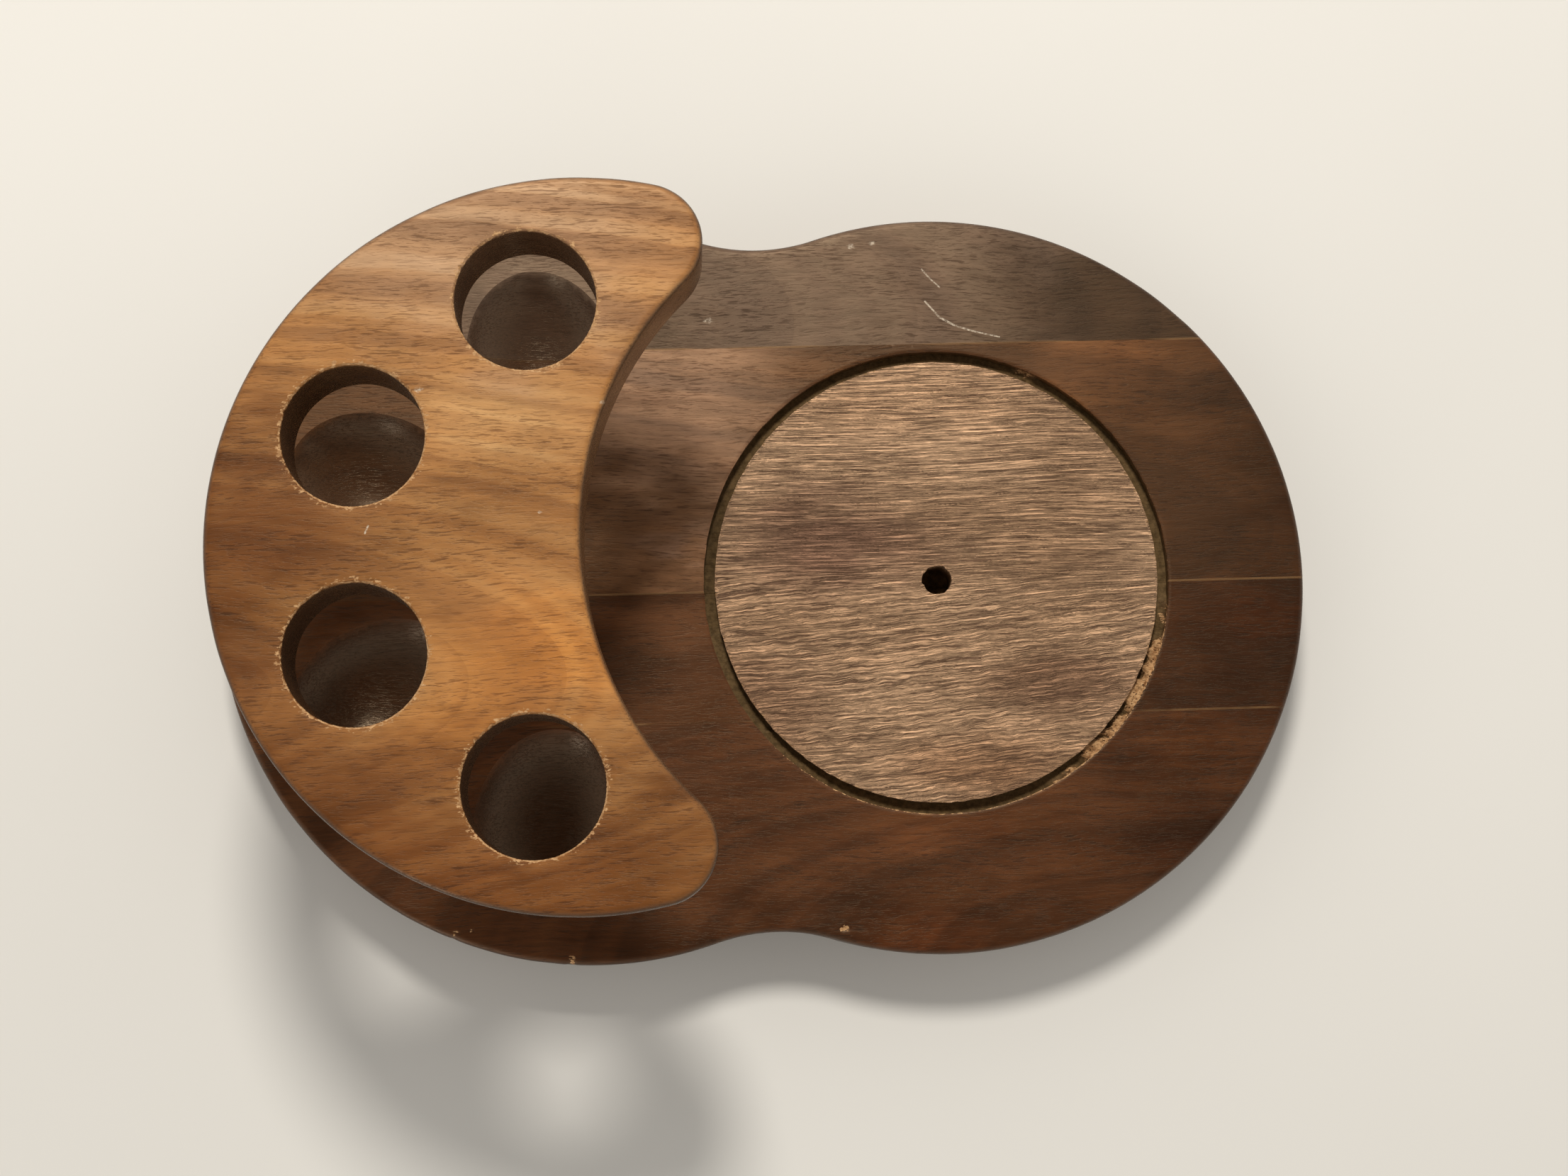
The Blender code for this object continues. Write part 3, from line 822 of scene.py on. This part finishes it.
def make_base():
    outline = base_outline()
    inset = drawn_in(outline, BASE_EASE)
    n = len(outline)
    groove_out = wobble(circle(JAR_X, 0, GROOVE_R, 0.7), 0.10, 31, 1.6)
    groove_lips = [circle(JAR_X, 0, GROOVE_R + out, 0.8) for out in (0.28, 0.8)]
    groove_in = wobble(circle(JAR_X, 0, GROOVE_IN_R, 0.7), 0.14, 32, 1.4)
    pilot = wobble(circle(JAR_X, 0, PILOT_R, 0.4), 0.28, 33, 0.9)
    loops = [inset, groove_out, *groove_lips, groove_in, pilot] + [dish_loop(*d) for d in DISHES]

    def plain(q):
        return (about_jar(q)[0] > GROOVE_R) & ~in_dish(q) & inside(inset, q)

    # grids of points, each with the least distance that it keeps from the loops
    grids = [(lattice((x - 3.5, x + 3.5, y - 2.5, y + 2.5), 0.35, 0.3, 9, plain), 0.25)
             for x, y, *_ in CHIPS]
    grids += [(lattice((-125, 125, -85, 85), 1.7, 1.2, 1, plain), 0.7),
              (lattice((-125, 0, -85, 85), 1.2, 1.1, 2, in_dish), 0.6),
              (lattice((-15, 92, -50, 50), 1.15, 0.25, 3, in_disc), 0.2),
              (lattice((-15, 92, -53, 53), 0.6, 0.5, 4, in_groove), 0.3)]
    p, tris = triangulate(loops, grids)
    kind = kinds(p, tris, inset, (groove_out, GROOVE), (groove_in, DISC), (pilot, PILOT))
    shell = Shell()
    ids = shell.terrace(p, tris, kind, (base_face, groove_floor, disc_face, pilot_floor))[FACE]
    ring = ids[:n]

    # the side, from the face down, with slow dents and the lower part of the chips
    s = np.arange(n) * STEP
    dent = np.clip(noise(s / 7, 0.5, 51), 0, 1) * 0.10 + 0.05
    c = chip(inset[:, :2])
    for back, z in side_rows(BASE_EASE, 0, BASE_T, (18, 36, 54, 72, 90), (14.5, 9.5, 4.5)):
        soft = smooth(2.5, 6, z) if z < 12 else 1.0
        deep = back + dent * soft + c * (1.2 if z > 16 else 0)
        xy = outline[:, :2] - outline[:, 2:] * deep[:, None]
        bare_share = smooth(0.08, 0.22, c) * (z > 17)
        rim = 0.6 if z < 15 else smooth(BASE_T - 0.2, BASE_T - 0.9, z)
        ring = shell.below(ring, xy, z - c * (z > 17.2), painted(n, bare_share, rim))

    # the underside with the screws' recesses
    recesses = [(circle(x, y, r + FIT, 0.4), k) for x, y in POST_XY
                for r, k in ((SCREW_HEAD_R, HEAD), (SCREW_R, BORE))]
    coarse = lattice((-125, 125, -85, 85), 5, 4, 6, lambda q: inside(inset, q))
    p, tris = triangulate([inset] + [loop for loop, _ in recesses], [(coarse, 3.0)])
    kind = kinds(p, tris, inset, *recesses)
    ids = shell.terrace(p, tris, kind, (base_under, screw_cone, bore_end), flip=True)[FACE]
    shell.strip(ids[:n], ring)
    return shell.mesh("base")


base = make_base()
edges = [None, *GLUE_LINES, None]
for k, (y0, y1) in enumerate(zip(edges, edges[1:])):
    cuts = []
    if y0 is not None:
        cuts.append(((0, y0 + HAIR, 0), (0, 1, 0)))
    if y1 is not None:
        cuts.append(((0, y1 - HAIR, 0), (0, -1, 0)))
    piece(f"walnut_board_{k + 1}", base, board_materials[k],
          [f"base_board_{k + 1}"], cuts)
bpy.data.meshes.remove(base)


# ---------------------------------------------------------------- shelf
def ragged(cx, cy, seed):
    """A stem hole's upper edge: torn a little where the cutter left the fibres, at -X and +Y."""
    loop = circle(cx, cy, HOLE_R + HOLE_EASE, 0.45)
    a = np.arctan2(loop[:, 3], loop[:, 2])
    weight = 0.25 + 0.75 * smooth(-0.2, 0.9, np.cos(a - math.radians(150)))
    tear = smooth(0.35, 0.9, noise(a * 14, 0.5, seed)) * 0.75 + 0.06 * noise(a * 40, 0.5, seed + 1)
    loop[:, :2] += loop[:, 2:] * (tear * weight)[:, None]
    return loop


SOCKET = 1    # the kind of triangle at the bottom of a post's socket
# rows down a hole's wall: depth, share of the tear that is kept, bare, rim
HOLE_ROWS = [(0.22, 0.6, 1.5, 0), (0.5, 0.35, 0.7, 0.5), (1.3, 0.1, 0, 1), (4.5, 0, 0, 1),
             (9, 0, 0, 1), (13.5, 0, 0, 1), (SHELF_T - HOLE_EASE, 0, 0, 1)]


def shelf_face(q):
    d = nearest(q, HOLES)
    near = smooth(HOLE_R + 1.4, HOLE_R + 0.5, d)
    a = 0.06 + 0.16 * noise(q[:, 0] / 2, q[:, 1] / 2, 71)
    z = SHELF_TOP - 0.05 * near + 0.015 * noise(q[:, 0] / 8, q[:, 1] / 4, 72) - 0.015
    return z, painted(len(q), near * a + 0.26 * smooth(HOLE_R + 1.0, HOLE_R + 0.5, d))


def shelf_under(q):
    return np.full(len(q), SHELF_Z), painted(len(q), rim=0.45)


def socket_end(q):
    return np.full(len(q), SHELF_Z + (TENON_H + 2 * FIT)), painted(len(q), rim=0.45)


def hole_wall(shell, k, top, high, bottom, low):
    """Stem hole k, from its torn upper loop to its round lower one, whose ids are high and low."""
    a = np.arctan2(bottom[:, 3], bottom[:, 2])
    # the bare rim is paler towards the lower right: wear, and partly a painted highlight where the
    # rim faces the light
    pale = 0.65 + 0.35 * smooth(-0.3, 0.8, np.cos(a - math.radians(-60)))
    pale = pale * (0.7 + 0.3 * noise(a * 12, 0.5, 80 + k))
    tear = np.hypot(*(top[:, :2] - HOLES[k]).T) - HOLE_R - HOLE_EASE
    upper = high
    for down, keep, bare, rim in HOLE_ROWS:
        ease = HOLE_EASE * max(0, 1 - down / 0.5)
        mill = 0.03 * noise(a * 6 + down, down / 2, 90 + k)
        r = HOLE_R + ease + np.clip(tear, -0.05, 1) * keep + mill * (down > 1)
        lower = shell.points(HOLES[k] + bottom[:, 2:] * r[:, None], SHELF_TOP - down,
                             painted(len(a), bare * pale, rim))
        shell.strip(upper, lower)
        upper = lower
    shell.strip(upper, low)


def make_shelf():
    outline = shelf_outline()
    inset = drawn_in(outline, SHELF_EASE)
    n = len(outline)
    tops = [ragged(x, y, 60 + 3 * k) for k, (x, y) in enumerate(HOLES)]
    lips = [circle(x, y, HOLE_R + HOLE_EASE + 1.1, 0.9) for x, y in HOLES]

    def on_shelf(q):
        return inside(inset, q)

    shell = Shell()
    p, tris = triangulate([inset, *tops, *lips],
                          [(lattice((-115, 10, -75, 75), 1.5, 1.1, 7, on_shelf), 0.6)])
    kind = kinds(p, tris, inset, *[(loop, -1) for loop in tops])
    ids = shell.terrace(p, tris, kind, (shelf_face,))[FACE]
    ring, *highs = loop_ids(ids, [inset, *tops])

    s = np.arange(n) * STEP
    dent = np.clip(noise(s / 6, 0.5, 73), 0, 1) * 0.06
    for back, z in side_rows(SHELF_EASE, SHELF_Z, SHELF_TOP, (15, 30, 45, 60, 75, 90), (13, 9, 5)):
        xy = outline[:, :2] - outline[:, 2:] * (back + dent * (z > SHELF_Z + 3))[:, None]
        rim = 0.95 if z < SHELF_TOP - 4 else smooth(SHELF_TOP - 0.02, SHELF_TOP - 0.8, z)
        ring = shell.below(ring, xy, z, painted(n, rim=rim))

    bottoms = [circle(x, y, HOLE_R + HOLE_EASE, 0.45) for x, y in HOLES]
    sockets = [circle(x, y, TENON_R + FIT, 0.6) for x, y in POST_XY]
    p, tris = triangulate([inset, *bottoms, *sockets],
                          [(lattice((-115, 10, -75, 75), 4, 3, 8, on_shelf), 1.8)])
    kind = kinds(p, tris, inset, *[(loop, -1) for loop in bottoms],
                 *[(loop, SOCKET) for loop in sockets])
    ids = shell.terrace(p, tris, kind, (shelf_under, socket_end), flip=True)[FACE]
    last, *lows = loop_ids(ids, [inset, *bottoms])
    shell.strip(last, ring)
    for k, (top, high, bottom, low) in enumerate(zip(tops, highs, bottoms, lows)):
        hole_wall(shell, k, top, high, bottom, low)
    return shell.mesh("shelf")


shelf_mesh = make_shelf()
piece("crescent_shelf", shelf_mesh, shelf_material, ["shelf"])
bpy.data.meshes.remove(shelf_mesh)


# ---------------------------------------------------------------- posts and screws
SEGMENTS, RIPPLE = 96, 0.05    # around a post, and the tool's faint ripples along it
POST_PAINT = (0, 0.4, 0, 0)


def turned(cx, cy, profile):
    """A closed turned solid from (radius, z) points, the ends on the axis."""
    shell = Shell()
    a = np.radians(np.arange(SEGMENTS) * 360 / SEGMENTS)
    d = np.column_stack((np.cos(a), np.sin(a)))
    rings = [shell.points((cx, cy) + d * (r - abs(RIPPLE * noise(k * 0.7, 0.5, 95))), z, POST_PAINT)
             for k, (r, z) in enumerate(profile)]
    for low, high in zip(rings, rings[1:]):
        shell.strip(low, high)
    for ring, z, flip in ((rings[0], profile[0][1], True), (rings[-1], profile[-1][1], False)):
        hub = shell.points(np.array([(cx, cy)]), z, POST_PAINT)[0]
        for i in range(SEGMENTS):
            tri = (hub, ring[i], ring[(i + 1) % SEGMENTS])
            shell.faces.append(tri[::-1] if flip else tri)
    return shell.mesh("turned")


def post_profile():
    """From the blind end of the screw's bore down to the foot, and up the outside to the tenon."""
    bore, tip, top = SCREW_R + FIT, BASE_T + SCREW_REACH, POST_Z + POST_H

    def eased(end, sign, turns):
        return [(POST_R - POST_EASE * (1 - math.sin(t)),
                 end + sign * POST_EASE * (1 - math.cos(t))) for t in turns]

    return ([(bore * 0.2, tip + FIT), (bore, tip - SCREW_POINT + FIT), (bore, POST_Z)]
            + eased(POST_Z, 1, (0, 0.4, 0.8, 1.2))
            + [(POST_R, z) for z in np.arange(POST_Z + POST_EASE, top - POST_EASE, 1.2)]
            + eased(top, -1, (1.2, 0.8, 0.4, 0))
            + [(TENON_R, top), (TENON_R, top + TENON_H - POST_EASE),
               (TENON_R - POST_EASE, top + TENON_H)])


steel_material = steel()
for k, (px, py) in enumerate(POST_XY):
    mesh = turned(px, py, post_profile())
    piece(f"turned_post_{k + 1}", mesh, post_material, [f"post_{k + 1}"])
    bpy.data.meshes.remove(mesh)
    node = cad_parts[f"screw_{k + 1}"]
    node.data.materials.clear()
    node.data.materials.append(steel_material)


# ---------------------------------------------------------------- stage, light and camera
def floor():
    mesh = bpy.data.meshes.new("floor")
    bm = bmesh.new()
    bmesh.ops.create_grid(bm, x_segments=8, y_segments=8, size=12.0)
    bm.to_mesh(mesh)
    bm.free()
    ob = place("floor", mesh)
    ob.location.z = -0.2 * MM
    t = Tree("pale_table")
    p = t.add("ShaderNodeTexCoord", {}).outputs["Object"]
    cloud = t.noise(p, (4.0, 4.0, 4.0), 3.0)
    pale = t.mix(cloud, srgb(226, 222, 214), srgb(236, 232, 224))
    t.links.new(pale, t.shader.inputs["Base Color"])
    t.shader.inputs["Roughness"].default_value = 0.7
    mesh.materials.append(t.material)


def area(name, direction, distance, size, power, color):
    """A round light at a distance from the middle of the rack, turned towards it."""
    light = bpy.data.lights.new(name, "AREA")
    light.shape = "DISK"
    light.size, light.energy, light.color = size, power, color
    ob = place(name, light)
    d = Vector(direction).normalized()
    ob.location = Vector((0, 0, 30 * MM)) + d * distance
    ob.rotation_euler = d.to_track_quat("Z", "Y").to_euler()


floor()
area("key", (-0.06, 0.66, 1.0), 1.15, 0.24, 9.0, (1.0, 0.97, 0.92))
area("low_bounce", (-0.5, -0.85, 0.06), 1.2, 0.30, 1.6, (1.0, 0.98, 0.95))

world = bpy.data.worlds.new("studio")
world.use_nodes = True
nodes, links = world.node_tree.nodes, world.node_tree.links
sky = nodes.new("ShaderNodeSeparateXYZ")
links.new(nodes.new("ShaderNodeTexCoord").outputs["Generated"], sky.inputs[0])
fade = nodes.new("ShaderNodeMapRange")     # pale walls around, a darker room above
fade.interpolation_type = "SMOOTHSTEP"
for socket, value in zip(fade.inputs, (0.0, 0.35, 0.95, 0.98, 0.12)):
    socket.default_value = value
links.new(sky.outputs["Z"], fade.inputs[0])
links.new(fade.outputs[0], nodes["Background"].inputs["Strength"])
nodes["Background"].inputs["Color"].default_value = (1.0, 0.98, 0.95, 1)
scene = bpy.context.scene
scene.world = world
scene.view_settings.view_transform = "Standard"
scene.view_settings.look = "None"

camera = bpy.data.cameras.new("camera")
camera.lens, camera.sensor_width, camera.sensor_fit = 55.334, 36.0, "HORIZONTAL"
eye = place("camera", camera)
eye.location = (-0.01925, -0.0720, 0.55167)
eye.rotation_euler = [math.radians(a) for a in (7.658, -2.255, -1.762)]
scene.camera = eye
